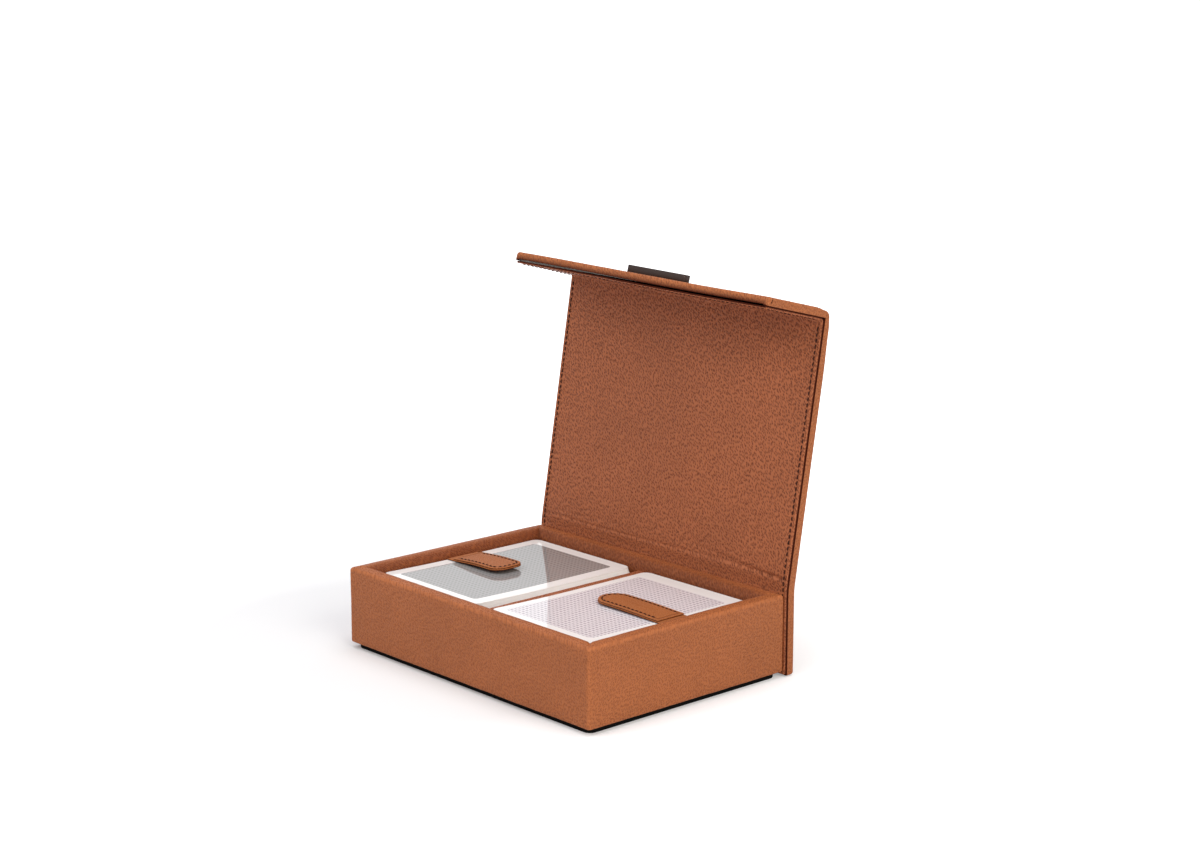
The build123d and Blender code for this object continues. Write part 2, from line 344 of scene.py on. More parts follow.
def plain_card(name, colour, rough, coat):
    """Card stock with faint mottling, and the lines between the cards on a deck's side."""
    mat, tree, shader = node_material(name)
    place = object_place(tree)
    mottle = noise_texture(tree, place, 900.0, 3.0).outputs["Fac"]
    tone = mix_colour(tree, mottle, [c * 0.96 for c in colour], [min(1, c * 1.03) for c in colour])
    band = noise_texture(tree, mapped(tree, place, Scale=(12, 12, 5200)), 1.0, 1.0).outputs["Fac"]
    lines = ramp(tree, band, [(0.35, grey(0.22)), (0.6, grey(0))])
    link(mix_colour(tree, lines, tone, (0.60, 0.58, 0.58)), shader.inputs["Base Color"])
    shader.inputs["Roughness"].default_value = rough
    shader.inputs["Coat Weight"].default_value = coat
    shader.inputs["Coat Roughness"].default_value = 0.05
    relief(tree, mottle, 0.12, 0.00003, shader.inputs["Normal"])
    return mat


def card_back(name, field, marks, box, dash, ior):
    """Printed card back: rows of fine dashes inside a white border, under a glossy coat."""
    mat, tree, shader = node_material(name)
    place = object_place(tree)
    split = tree.nodes.new("ShaderNodeSeparateXYZ")
    link(place, split.inputs[0])
    x, y = split.outputs[0], split.outputs[1]
    x0, x1, y0, y1 = (v * MM for v in box)
    corner, blur = 1.6 * MM, 0.12 * MM
    border = (0.93, 0.915, 0.925)

    def outside(value, low, high):
        """Square of how far a place is beyond the field's straight part."""
        middle, half = (low + high) / 2, (high - low) / 2 - corner
        away = maths(tree, "ABSOLUTE", maths(tree, "SUBTRACT", value, middle))
        beyond = maths(tree, "MAXIMUM", maths(tree, "SUBTRACT", away, half), 0.0)
        return maths(tree, "POWER", beyond, 2.0)

    radial = maths(tree, "SQRT", maths(tree, "ADD", outside(x, x0, x1), outside(y, y0, y1)))
    beyond = maths(tree, "DIVIDE", maths(tree, "SUBTRACT", radial, corner), blur)
    inside = maths(tree, "SUBTRACT", 1.0, beyond, clamp=True)

    pitch_x, pitch_y, long_share, thick_share = dash

    def wave(value, pitch):
        return maths(tree, "ABSOLUTE", maths(tree, "SINE", times(tree, value, pi / (pitch * MM))))

    across, down = wave(x, pitch_x), wave(y, pitch_y)
    dots = times(
        tree,
        ramp(tree, across, [(long_share, grey(0)), (long_share + 0.22, grey(1))]),
        ramp(tree, down, [(thick_share, grey(0)), (thick_share + 0.20, grey(1))]),
    )
    threads = ramp(tree, maths(tree, "MINIMUM", across, down), [(0.10, grey(0.28)), (0.30, grey(0))])
    wear = noise_texture(tree, place, 650.0, 3.0).outputs["Fac"]
    faded = ramp(tree, wear, [(0.3, grey(0.75)), (0.6, grey(1))])
    ink = times(tree, maths(tree, "MAXIMUM", dots, threads), faded)
    link(mix_colour(tree, inside, border, mix_colour(tree, ink, field, marks)), shader.inputs["Base Color"])
    link(ramp(tree, wear, [(0.2, grey(0.30)), (0.8, grey(0.38))]), shader.inputs["Roughness"])
    shader.inputs["Specular IOR Level"].default_value = 0.0
    shader.inputs["Coat Weight"].default_value = 1.0
    shader.inputs["Coat IOR"].default_value = ior
    shader.inputs["Coat Roughness"].default_value = 0.02
    relief(tree, wear, 0.05, 0.00001, shader.inputs["Coat Normal"])
    return mat


def simple_surface(name, low, high, rough, scale, metal=0.0, stretch=(1, 1, 1), bump=0.3, depth=0.00005, gloss=0.5):
    """Surface with a fine uneven tone and relief, for metal, felt, board and thread."""
    mat, tree, shader = node_material(name)
    place = object_place(tree)
    tex = noise_texture(tree, mapped(tree, place, Scale=stretch), scale, 4.0, 0.6).outputs["Fac"]
    link(mix_colour(tree, tex, low, high), shader.inputs["Base Color"])
    uneven = [(0.3, grey(rough * 0.88)), (0.7, grey(min(1, rough * 1.1)))]
    link(ramp(tree, tex, uneven), shader.inputs["Roughness"])
    shader.inputs["Metallic"].default_value = metal
    shader.inputs["Specular IOR Level"].default_value = gloss
    relief(tree, tex, bump, depth, shader.inputs["Normal"])
    return mat


EDGE_PAINT_AND_SHADE = (0.060, 0.012, 0.006)  # dark edge paint on cut edges; also laid as painted shade in grooves, gaps and slits
TAN, PIT = (0.380, 0.116, 0.037), (0.15, 0.034, 0.012)
LINING, LINING_PIT = (0.388, 0.116, 0.045), (0.115, 0.026, 0.010)
TAB, TAB_PIT = (0.37, 0.118, 0.035), (0.16, 0.036, 0.013)
outer_leather = leather("grained_leather", TAN, PIT, 0.95, 1.0, 0.62, streaks=True)
cover_leather = leather("cover_leather", TAN, PIT, 0.95, 1.0, 0.62)
lining_leather = leather("lining_leather", LINING, LINING_PIT, 1.05, 1.2, 0.95)
tab_leather = leather("tab_leather", TAB, TAB_PIT, 0.7, 0.6, 0.4)
card_side = plain_card("card_stock", (0.93, 0.92, 0.93), 0.32, 0.3)
felt = simple_surface("black_felt", grey(0.003), grey(0.009), 0.95, 2600, bump=0.6, depth=0.0001, gloss=0.04)
greyboard = simple_surface("greyboard", (0.30, 0.285, 0.26), (0.40, 0.385, 0.35), 0.85, 1500)
foam = simple_surface("foam", (0.68, 0.66, 0.60), (0.80, 0.78, 0.72), 0.9, 1800, bump=0.7, depth=0.0002)
metal = simple_surface(
    "dark_metal", (0.030, 0.018, 0.015), (0.062, 0.042, 0.036), 0.36, 900,
    metal=0.75, stretch=(0.08, 1, 1), bump=0.12, depth=0.00002,
)
magnet = simple_surface("magnet", (0.50, 0.50, 0.51), (0.62, 0.62, 0.63), 0.3, 800, metal=1.0)
thread = simple_surface("thread", (0.024, 0.006, 0.004), (0.050, 0.013, 0.008), 0.7, 3000, bump=0.5, gloss=0.15)


# ---- tray leather: one skin wrapped over the four walls
CROWN = [
    (1.75, 35.93), (2.6, 36.05), (3.5, 36.14), (4.3, 36.19), (5.0, 36.17), (5.7, 36.0), (6.35, 35.7), (7.0, 35.22),
    (7.6, 34.55), (8.1, 33.7), (8.45, 32.8), (8.67, 31.9), (8.78, 30.9),
]


def rim_profile(inset):
    """Points (distance in from the outer face, height) of the turned skin, or of its inner face."""
    low, edge = LEATHER_LOW, 0.7
    pts = [(RIM_WIDTH, low), (6.5, low), (4.0, low), (2.2, low)]
    pts += [(edge - edge * sin(a), low + edge - edge * cos(a)) for a in quarter(4)]
    base = 34.25
    pts += [(0.0, z) for z in np.linspace(low + edge, base, 14)[1:]]
    pts += [(OUTER_R - OUTER_R * cos(a), base + OUTER_R * sin(a)) for a in np.linspace(0, 1.36, 8)[1:]]
    pts += CROWN + [(RIM_WIDTH, z) for z in np.linspace(29.5, FLOOR, 9)]
    pts = np.array(pts)
    along = np.gradient(pts, axis=0)
    along /= np.linalg.norm(along, axis=1)[:, None]
    return pts + inset * np.stack([along[:, 1], -along[:, 0]], 1)


def tray_skin(profile, wavy=0.09):
    """The profile carried round the tray, with a crease in each inner mitre."""
    nx, ny = int(2 * HALF_X), int(2 * HALF_Y)  # a point about every millimetre
    rings, slope, flow, wear_and_highlight = [], [], [], []
    lengths = np.r_[0, np.cumsum(np.linalg.norm(np.diff(profile, axis=0), axis=1))]
    for i, (d, z) in enumerate(profile):
        a = profile[max(i - 1, 0)]
        b = profile[min(i + 1, len(profile) - 1)]
        along = (b - a) / max(np.linalg.norm(b - a), 1e-6)
        out = np.array([-along[1], along[0]])
        r = max(CORNER_R - d, 0.35)
        loop, wall = rounded_loop(HALF_X - d, HALF_Y - d, r, spaced(nx), spaced(ny))
        ring = []
        # Mask of the rim's inner slope: it carries the stretched grain's streaks and a painted shade.
        on_slope = min(1.0, max(0.0, (d - 4.0) / 3.0)) * (z > 20)
        for (x, y), w in zip(loop, wall):
            to_corner = min(abs(HALF_X - d - abs(x)), abs(HALF_Y - d - abs(y)))
            near = max(HALF_X - d - abs(x), HALF_Y - d - abs(y))
            p = (x, y, z)
            push = wavy * softness(p, 9.0, 1.3) + 0.35 * wavy * softness(p, 3.2, 7.7)
            if z > 30:
                crease = exp(-((near / 0.5) ** 2)) * min(1.0, max(0.0, (d - 1.6) / 2.0))
                push -= 0.42 * crease + 0.10 * on_slope * abs(softness((x + y, z * 2, x - y), 1.6, 4.2))
            nd, nz = out * push
            sx = copysign(1, x) if w in (1, 3) else 0.0
            sy = copysign(1, y) if w in (0, 2) else 0.0
            ring.append((x + sx * -nd, y + sy * -nd, z + nz))
            slope.append(on_slope)
            flow.append(((y if w in (1, 3) else x) * MM, lengths[i] * MM, 0.0))
            patchy = 0.75 + 0.35 * softness(p, 4.0, 9.0)
            # Rubbed wear and painted highlight: the rim's outer top edge is lightened, weakly on the front wall and
            # more on the walls that face the light.
            edge_wear_and_highlight = exp(-(((d - 0.5) / 0.55) ** 2)) * (z > 34.4) * (0.25 if w == 0 else 0.8)
            # The outer upright corners are lightened the same way, as wear and painted highlight.
            upright = exp(-((near / 1.1) ** 2)) * (d < 1.0)
            wear_and_highlight.append(min(1.0, max(0.0, patchy * max(edge_wear_and_highlight, 0.9 * upright))))
        rings.append(ring)
    return rings, slope, flow, wear_and_highlight


def close_skin(name, outer, inner, material):
    """Closed leather: an outer face, and an inner face one thickness in."""
    o = tray_skin(outer)
    n = tray_skin(inner[::-1], wavy=0.0)
    rings = o[0] + n[0]
    verts, faces = loft(rings, closed=True)
    obj = new_object(name, verts, faces, material, sharp=50)
    attribute(obj, "slope", o[1] + [0.0] * len(n[1]))
    attribute(obj, "wear_and_highlight", o[3] + [0.0] * len(n[3]))
    attribute(obj, "edge", [0.0] * len(verts))
    layer = obj.data.attributes.new("flow", "FLOAT_VECTOR", "POINT")
    layer.data.foreach_set("vector", np.asarray(o[2] + n[2], np.float32).ravel())
    return keep_rest(obj)


def make_tray_leather():
    obj = close_skin("tray_leather", rim_profile(0.0), rim_profile(LEATHER), outer_leather)
    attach(obj, "tray")
    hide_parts(*(f"{side}_wall_leather" for side in ("front", "rear", "left", "right")))


def make_rim_foam():
    """Foam behind the leather's inner face, which fills out the rim."""
    play = 0.02  # kept free of the leather and the floor
    c, r = RIM_WIDTH - INNER_R, INNER_R - LEATHER - play
    board = 4.12  # just inside the wall board
    section = [(board, FLOOR + play), (board, 20.0), (board, 34.4)]
    section += [(c + r * sin(a), RIM_TOP - INNER_R + r * cos(a)) for a in np.linspace(0.02, pi / 2, 9)]
    section += [(c + r, 20.0), (c + r, FLOOR + play)]
    rings = []
    for d, z in section:
        loop, _ = rounded_loop(HALF_X - d, HALF_Y - d, 0.4, spaced(40), spaced(28))
        rings.append([(x, y, z) for x, y in loop])
    verts, faces = loft(rings, closed=True)
    obj = new_object("rim_foam", verts, faces, foam, sharp=50)
    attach(obj, "tray")
    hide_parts(*(f"{side}_rim_pad" for side in ("front", "rear", "left", "right")))


make_tray_leather()
make_rim_foam()


# ---- flat soft layers
def soft_slab(name, x0, x1, y0, y1, z0, z1, corner, edge, material, ripple=0.0):
    """Sheet or pad with rounded edges and a slightly uneven face."""
    cx, cy, hx, hy = (x0 + x1) / 2, (y0 + y1) / 2, (x1 - x0) / 2, (y1 - y0) / 2
    levels = [(edge * (1 - sin(a)), z0 + edge * (1 - cos(a))) for a in quarter(5)]
    levels += [(edge * (1 - sin(a)), z1 - edge * (1 - cos(a))) for a in quarter(5)[::-1]]
    depth = min(hx, hy)
    inner = [edge + (depth - edge) * t for t in (0.04, 0.12, 0.3, 0.6, 0.97)]
    rings = []
    for e, z in [(i, z0) for i in inner[::-1]] + levels + [(i, z1) for i in inner]:
        loop, _ = rounded_loop(hx - e, hy - e, max(corner - e, 0.05), spaced(30), spaced(24))
        ring = []
        for x, y in loop:
            lift = ripple * softness((x, y, z), 6.0, 2.0) if z > (z0 + z1) / 2 else 0.0
            ring.append((cx + x, cy + y, z + lift))
        rings.append(ring)
    verts, faces = loft(rings, caps=False)
    n = len(rings[0])
    faces += [tuple(range(n))[::-1], tuple(range(len(verts) - n, len(verts)))]
    return new_object(name, verts, faces, material)


def leather_attributes(obj, wear_and_highlight=None, edge=None):
    n = len(obj.data.vertices)
    attribute(obj, "wear_and_highlight", wear_and_highlight if wear_and_highlight is not None else np.zeros(n))
    attribute(obj, "edge", edge if edge is not None else np.zeros(n))
    return keep_rest(obj)


def skin(name, rings, material, edges=None):
    """Closed piece of leather through its rings."""
    verts, faces = loft(rings)
    return leather_attributes(new_object(name, verts, faces, material, sharp=50), edge=edges)


PAD_X, PAD_Y = 75.3, 52.3
pad = soft_slab("felt_pad", -PAD_X, PAD_X, -PAD_Y, PAD_Y, 0.0, LEATHER_LOW, 3.2, 0.35, felt)
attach(pad, "tray")
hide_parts("base_pad")

for side, (x0, x1) in (("left", (-68.6, -3.2)), ("right", (3.2, 68.6))):
    place = (x0, x1, -45.6, 45.6, FLOOR_SHEET - 1.0, FLOOR_SHEET)
    floor_sheet = soft_slab(f"{side}_floor_leather", *place, 1.0, 0.3, lining_leather, ripple=0.04)
    leather_attributes(floor_sheet)
    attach(floor_sheet, "tray")
    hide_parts(f"{side}_floor_lining")


def make_divider():
    top, half, r = 31.1, 3.1, 1.5
    inner_half, inner_top = 2.0, 28.35
    rings = []
    for y in np.linspace(-45.7, 45.7, 70):
        swell = 0.06 * softness((0, y, 0), 7.0, 5.0)
        left = shoulder(half, FLOOR, top, r, 8, 7)
        outer = left + [(0.0, top + 0.05)] + mirrored(left)
        inner = [(max(-inner_half, min(inner_half, x)), min(z, inner_top)) for x, z in outer]
        rings.append([(x, y, z + swell * (z > 20)) for x, z in outer] + [(x, y, z) for x, z in inner[::-1]])
    obj = skin("divider_leather_wrap", rings, lining_leather)
    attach(obj, "tray")
    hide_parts("divider_leather")


make_divider()


# ---- cover: places along the strip of spine, lid and flap
def turn(angle):
    """Directions along and out of a panel that leans back by angle, in Y and Z."""
    return (sin(angle), cos(angle)), (cos(angle), -sin(angle))


def lid_angle(s):
    t = min(1.0, max(0.0, (s + 3.4) / 6.8))
    return LEAN * t * t * (3 - 2 * t)


STEP = 0.05


def build_path():
    """Fold line path of spine and lid: (s, y, z, angle) at fine steps."""
    s = SPINE_END
    y, z = HINGE_Y, HINGE_Z + SPINE_END
    rows = [(s, y, z, 0.0)]
    while s < LID_SPAN + 0.5:
        a = lid_angle(s + STEP / 2)
        y += STEP * sin(a)
        z += STEP * cos(a)
        s += STEP
        rows.append((s, y, z, lid_angle(s)))
    return np.array(rows)


PATH = build_path()
FLAP_Y = HINGE_Y + LID_SPAN * sin(LEAN)
FLAP_Z = HINGE_Z + LID_SPAN * cos(LEAN)
FLAP_LEAN = LEAN - FLAP_FOLD


def eased(t):
    t = min(1.0, max(0.0, t))
    return t * t * (3 - 2 * t)


def sagged(x, y, z):
    """The cover's top hangs a little lower at its right end, and most at the flap's corner."""
    across = 1.1 * eased((x + 78.0) / 130.0) - 0.1
    return (x + 0.4, y, z - 0.8 * across * eased((z - 112.0) / 36.0) * (1 + 0.35 * eased((76.0 - y) / 36.0)))


def cover_top(s):
    """Thickness of the cover at a place along spine and lid."""
    return 5.6 - 0.6 * eased((s - 88.0) / 22.0) - 0.55 * eased((s - 110.6) / 4.0)


def flap_top(u):
    return 5.0 - 0.55 * eased(1 - u / 4.5)


def lower_point(s, x, w):
    """Place of a point of spine or lid: s along the strip, w out from the lined face."""
    y = np.interp(s, PATH[:, 0], PATH[:, 1])
    z = np.interp(s, PATH[:, 0], PATH[:, 2])
    out = turn(lid_angle(s))[1]
    h = w - FOLD
    return sagged(x, y + h * out[0], z + h * out[1])


def flap_point(u, x, w, angle=FLAP_LEAN):
    along, out = turn(angle)
    h = w - FOLD
    return sagged(x, FLAP_Y + u * along[0] + h * out[0], FLAP_Z + u * along[1] + h * out[1])


LIP = 1.15  # where the leather's turned side begins, out from the lined face
LINING_BACK = 1.0
CHANNEL, FOLD_CHANNEL = 3.7, 2.2  # inner face of the cover's leather, over a board and in a fold
# rings near a free end, closer together on its rounded edge and in its stitch groove
FREE_STEPS = (0.0, 0.05, 0.15, 0.3, 0.5, 0.75, 1.0, 1.3, 1.45, 1.9, 2.1, 2.3, 2.5, 2.75, 3.1)
LID_BEND = lower_point(-4.0, 0, FOLD), lower_point(4.0, 0, FOLD)
FILLET = 1.0  # radius of the lining in the corner between lid and flap
CORNER_U = (FOLD + FILLET) * tan(FLAP_FOLD / 2)


def lining_corner(share, x, w):
    """Lining in the inner corner: share 0 is on the lid and 1 on the flap."""
    reach = (FOLD + FILLET) / cos(FLAP_FOLD / 2)
    mid = LEAN - FLAP_FOLD / 2
    _, out_mid = turn(mid)
    cy, cz = FLAP_Y - reach * out_mid[0], FLAP_Z - reach * out_mid[1]
    angle = LEAN - FLAP_FOLD * share
    _, out = turn(angle)
    r = FILLET + w
    return sagged(x, cy + r * out[0], cz + r * out[1])


def bump_at(value, centre, width):
    return exp(-(((value - centre) / width) ** 2))


def free_end(distance, radius):
    """How far a rounded edge has fallen away at a distance from its end."""
    if distance >= radius:
        return 0.0
    return radius - sqrt(max(0.0, radius * radius - (radius - max(distance, 0.0)) ** 2))


def cross(limit, n=46):
    """Places across a panel, closer together at its stitch lines."""
    seam = COVER_HALF - SEAM
    inner = list(np.linspace(-seam + 2.0, seam - 2.0, n))
    beside = [seam + d for d in (-1.1, -0.75, -0.5, -0.28, 0.0, 0.28, 0.5, 0.75)]
    squeeze = min(1.0, (limit - 0.1) / beside[-1])
    return [v * squeeze for v in [-b for b in beside[::-1]] + inner + beside]


def seam_sink(x, end_distance):
    """Depth of the stitch groove at a place across the cover, and from its free end."""
    seam = COVER_HALF - SEAM
    across = bump_at(abs(x), seam, 0.42) * (end_distance > SEAM - 0.4)
    along = bump_at(end_distance, SEAM, 0.42) * (abs(x) < seam + 0.4)
    return 0.20 * max(across, along)


def gutter_sink(s):
    """Depth of the lining's and leather's hollow where the boards part."""
    t = abs(s) / 4.0
    if t >= 1:
        return 0.0
    return (1 - t * t) ** 2


def lining_creases(s, x):
    """Soft creases that the lid's opening has left across the lining."""
    total = 0.34 * bump_at(s, 4.6 + 0.5 * sin(x / 23.0), 0.55)
    ease = 1 / (1 + exp(-(x - 18) / 9))
    total += 0.42 * ease * bump_at(s, 9.5 - 0.085 * (x - 10), 0.60)
    total += 0.30 * ease * bump_at(s, 7.2 - 0.050 * (x - 10), 0.45)
    left = 1 / (1 + exp((x + 30) / 8))
    total += 0.20 * left * bump_at(s, 6.8 + 0.035 * (x + 60), 0.50)
    return total


def leather_section(place, half, top, lip, inner, sink, end_distance):
    """Ring of the wrapped leather at one station: a channel, open to the lining."""
    lip_r, wall = 0.3, 1.3
    r = min(1.2, (top - lip) * 0.45)
    side = shoulder(half, lip + lip_r, top, r, 6, 6)
    upper = side + [(x, top) for x in cross(half - r)] + mirrored(side)
    turned = [
        (-half + lip_r - lip_r * cos(a), lip + lip_r - lip_r * sin(a))
        for a in np.linspace(0.3, pi / 2, 5)
    ]
    turned += [(-half + wall, lip), (-half + wall + 0.02, inner)]
    reach = half - wall - 1.0
    channel = [(x, inner) for x in np.linspace(-reach, reach, len(upper) - 2 * len(turned))]
    lower = turned + channel + mirrored(turned)
    ring = []
    for x, w in upper:
        if w > top - 0.05:
            soft = 0.05 * softness((x, end_distance * 1.7, w), 11.0, 2.2)
            w += soft - seam_sink(x, end_distance) - sink
        ring.append(place(x, w))
    # Painted shade: the leather's rounded lip and turned-in side, which show in the groove beside the lining, take
    # the dark edge colour.
    dark = [1.0 if w < lip + 0.12 else 0.0 for x, w in upper] + [1.0] * len(lower)
    return ring + [place(x, w) for x, w in lower][::-1], dark


def lining_section(place, half, face, end_distance, sinks=lambda x: 0.0):
    """Ring of the lining at one station. sinks gives the face's depth at a place across."""
    back = LINING_BACK
    r = min(0.42, (back - face) * 0.45)
    xs = cross(half - r - 0.05)
    side = [(-half, back - 0.12), (-half, face + r)]
    side += [(-half + r - r * cos(a), face + r - r * sin(a)) for a in quarter(5)[1:]]
    under = [(-half + 0.3 * i, back) for i in range(len(side))]
    lower = under + [(x, back) for x in xs] + mirrored(under)
    ring = []
    for x, w in side + [(x, face) for x in xs] + mirrored(side):
        if w < face + 0.02:
            w += seam_sink(x, end_distance) + sinks(x) + 0.05 * softness((x, end_distance * 1.3, 2.0), 10.0, 8.1)
        ring.append(place(x, w))
    return ring + [place(x, w + 0.6 * sinks(x)) for x, w in lower][::-1]


def stations_lower(first, last):
    """Places along spine and lid, close together at the hinge and the free end."""
    out = [first + d for d in FREE_STEPS]
    out += list(np.arange(first + 4.5, -7.0, 2.0)) + list(np.arange(-6.6, 14.0, 0.4))
    return out + list(np.arange(14.5, last - 1.2, 2.0)) + [last]


def metres(point):
    return [c * MM for c in point]


def make_cover_leather():
    rings, paint_and_shade = [], []

    def add_ring(*section):
        ring, dark = leather_section(*section)
        rings.append(ring)
        paint_and_shade.extend(dark)

    for s in stations_lower(SPINE_END, LID_SPAN):
        e = s - SPINE_END
        g = gutter_sink(s)
        inner = CHANNEL if e > 1.35 else 1.75
        inner -= 1.9 * min(1.0, 1.6 * g)
        if LID_SPAN - s < 1.7:
            inner = FOLD_CHANNEL
        half, top, lip = COVER_HALF - free_end(e, 0.9), cover_top(s) - free_end(e, 1.2), LIP + free_end(e, 0.4)
        add_ring(partial(lower_point, s), half, top, lip, inner, 0.55 * g, e)
    obj = skin("cover_leather_lower", rings, cover_leather, paint_and_shade)
    metres(LID_BEND[0])
    metres(LID_BEND[1])
    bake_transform(obj)
    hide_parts("spine_leather", "lid_hinge_leather", "lid_leather")

    rings, paint_and_shade = [], []
    for angle in np.linspace(LEAN, FLAP_LEAN, 15):
        place = partial(flap_point, 0.0, angle=angle)
        add_ring(place, COVER_HALF, flap_top(0), LIP + 0.1, FOLD_CHANNEL, 0.0, 20.0)
    ends = [FLAP_SPAN - d for d in FREE_STEPS][::-1]
    for u in [0.35, 0.8, 1.4, 1.75] + list(np.arange(3.0, FLAP_SPAN - 4.0, 1.6)) + ends:
        e = FLAP_SPAN - u
        inner = FOLD_CHANNEL if u < 1.5 else (CHANNEL if e > 1.35 else 1.75)
        half, top, lip = COVER_HALF - free_end(e, 0.9), flap_top(u) - free_end(e, 1.2), LIP + free_end(e, 0.4)
        add_ring(partial(flap_point, u), half, top, lip, inner, 0.0, e)
    obj = skin("cover_leather_flap", rings, cover_leather, paint_and_shade)
    start, end = flap_point(-3.0, 0, FOLD, LEAN), flap_point(3.0, 0, FOLD)
    metres(start)
    metres(end)
    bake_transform(obj)
    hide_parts("flap_hinge_leather", "flap_leather")


def cut_sides(rings, free):
    """1 on a lining's cut sides and on its free end's ring: dark edge paint, which on the sides is also painted
    shade in the gap beside the cover's leather.
    """
    n = len(rings[0])
    row = [0.0] * n
    for i in (0, n // 2 - 1, n // 2, n - 1):
        row[i] = 1.0
    row[1] = row[n // 2 - 2] = 0.25
    values = [row] * len(rings)
    values[free] = [1.0] * n
    return sum(values, [])


def make_lining():
    half = COVER_HALF - 0.45
    first, span = SPINE_END + 0.6, FLAP_SPAN - 0.6
    rings = []
    for s in stations_lower(first, LID_SPAN - CORNER_U):
        e = s - first
        rings.append(lining_section(
            partial(lower_point, s), half - free_end(e, 0.9), free_end(e, 0.42), e + 0.6,
            lambda x: 0.45 * gutter_sink(s) + lining_creases(s, x),
        ))
    obj = skin("cover_lining_lower", rings, lining_leather, cut_sides(rings, 0))
    metres(LID_BEND[0])
    metres(LID_BEND[1])
    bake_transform(obj)
    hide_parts("spine_lining", "lid_hinge_lining", "lid_lining")

    rings = [lining_section(partial(lining_corner, share), half, 0.0, 20.0) for share in np.linspace(0, 1, 11)]
    ends = [span - d for d in (0.0, 0.05, 0.15, 0.3, 0.5, 0.8, 1.1, 1.3, 1.5, 1.7, 1.95, 2.3)][::-1]
    for u in list(np.arange(CORNER_U + 0.8, span - 3.4, 1.6)) + ends:
        e = span - u
        rings.append(lining_section(partial(flap_point, u), half - free_end(e, 0.9), free_end(e, 0.42), e + 0.6))
    obj = skin("cover_lining_flap", rings, lining_leather, cut_sides(rings, -1))
    start, end = flap_point(-2.6, 0, FOLD, LEAN), flap_point(2.6, 0, FOLD)
    metres(start)
    metres(end)
    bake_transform(obj)
    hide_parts("flap_hinge_lining", "flap_lining")


make_cover_leather()
make_lining()


# ---- stitches
def stitch_mesh(centres, material, name, length=2.05):
    """Short bowed threads. Each centre is (place, direction along, direction out)."""
    verts, faces = [], []
    sides, steps = 6, 7
    radius, rise = 0.30, 0.16
    for place, along, out in centres:
        place, along, out = (np.array(v, float) for v in (place, along, out))
        along /= np.linalg.norm(along)
        out /= np.linalg.norm(out)
        across = np.cross(along, out)
        base = len(verts)
        for i in range(steps):
            t = -1 + 2 * i / (steps - 1)
            r = radius * sqrt(max(0.06, 1 - abs(t) ** 3.2))
            centre = place + along * (t * length / 2) + out * (rise - 0.42 * abs(t) ** 2.6)
            for j in range(sides):
                a = 2 * pi * j / sides
                verts.append(centre + r * (cos(a) * across + sin(a) * out))
        for i in range(steps - 1):
            for j in range(sides):
                k = (j + 1) % sides
                a, b = base + i * sides, base + (i + 1) * sides
                faces.append((a + j, a + k, b + k, b + j))
        faces.append(tuple(base + j for j in range(sides))[::-1])
        faces.append(tuple(base + (steps - 1) * sides + j for j in range(sides)))
    return new_object(name, verts, faces, material, sharp=None)


def line_of_stitches(place, length, pitch=2.5):
    """Stitches along a line, where place(t) gives a point for each distance along it."""
    count = max(1, int(length / pitch))
    start = (length - count * pitch) / 2
    rows = []
    for i in range(count):
        t = start + (i + 0.5) * pitch
        a, b = (np.array(place(t + d)[0]) for d in (-0.2, 0.2))
        centre, out = place(t)
        rows.append((centre, b - a, out))
    return rows


def cover_seam(face):
    """Stitches of the cover's lower strip and of its flap, on one face (0 lining, 5 leather)."""
    outward = -1 if face == 0 else 1
    depth = 0.10 if face == 0 else 0.36
    x_seam = COVER_HALF - SEAM

    def facing(angle):
        out = turn(angle)[1]
        return 0, outward * out[0], outward * out[1]

    def lower(x):
        first, last = SPINE_END + SEAM, LID_SPAN - (CORNER_U + 0.6 if face == 0 else 1.0)

        def place(t):
            s = first + t
            sink = (0.45 if face == 0 else 0.55) * gutter_sink(s)
            w = (cover_top(s) if face else 0.0) - outward * (depth + sink)
            return lower_point(s, x, w), facing(lid_angle(s))

        return line_of_stitches(place, last - first)

    def flap(x):
        first = CORNER_U + 0.8 if face == 0 else 1.5

        def place(t):
            w = (flap_top(first + t) if face else 0.0) - outward * depth
            return flap_point(first + t, x, w), facing(FLAP_LEAN)

        return line_of_stitches(place, FLAP_SPAN - SEAM - first)

    def across(point, angle):
        return line_of_stitches(lambda t: (point(-x_seam + t), facing(angle)), 2 * x_seam)

    base = cover_top(SPINE_END) if face else 0.0
    low = lower(-x_seam) + lower(x_seam)
    low += across(lambda x: lower_point(SPINE_END + SEAM, x, base - outward * depth), 0.0)
    high = flap(-x_seam) + flap(x_seam)
    high += across(lambda x: flap_point(FLAP_SPAN - SEAM, x, face - outward * depth), FLAP_LEAN)
    return low, high


def make_cover_stitches():
    seams = [("inside", *cover_seam(0)), ("outside", *cover_seam(5))]
    for side, low, _ in seams:
        obj = stitch_mesh(low, thread, f"cover_stitching_{side}")
        metres(LID_BEND[0])
        metres(LID_BEND[1])
        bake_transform(obj)
    for side, _, high in seams:
        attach(stitch_mesh(high, thread, f"flap_stitching_{side}"), "flap")


make_cover_stitches()


# ---- decks
CARD_X, CARD_Y, CARD_R = 31.5, 44.0, 3.5
DECK_X, DECK_Y = 36.3, 0.1
DECK_LOW = 15.25
CARDS = 54
CARD_T = 0.3
LOOSE = 0.95  # how much higher a loose stack stands than pressed cards


def deck_bow(y, share):
    """The upper cards bow up a little at the front."""
    t = max(0.0, (4.0 - y) / 47.3)
    return share * 0.85 * t * t


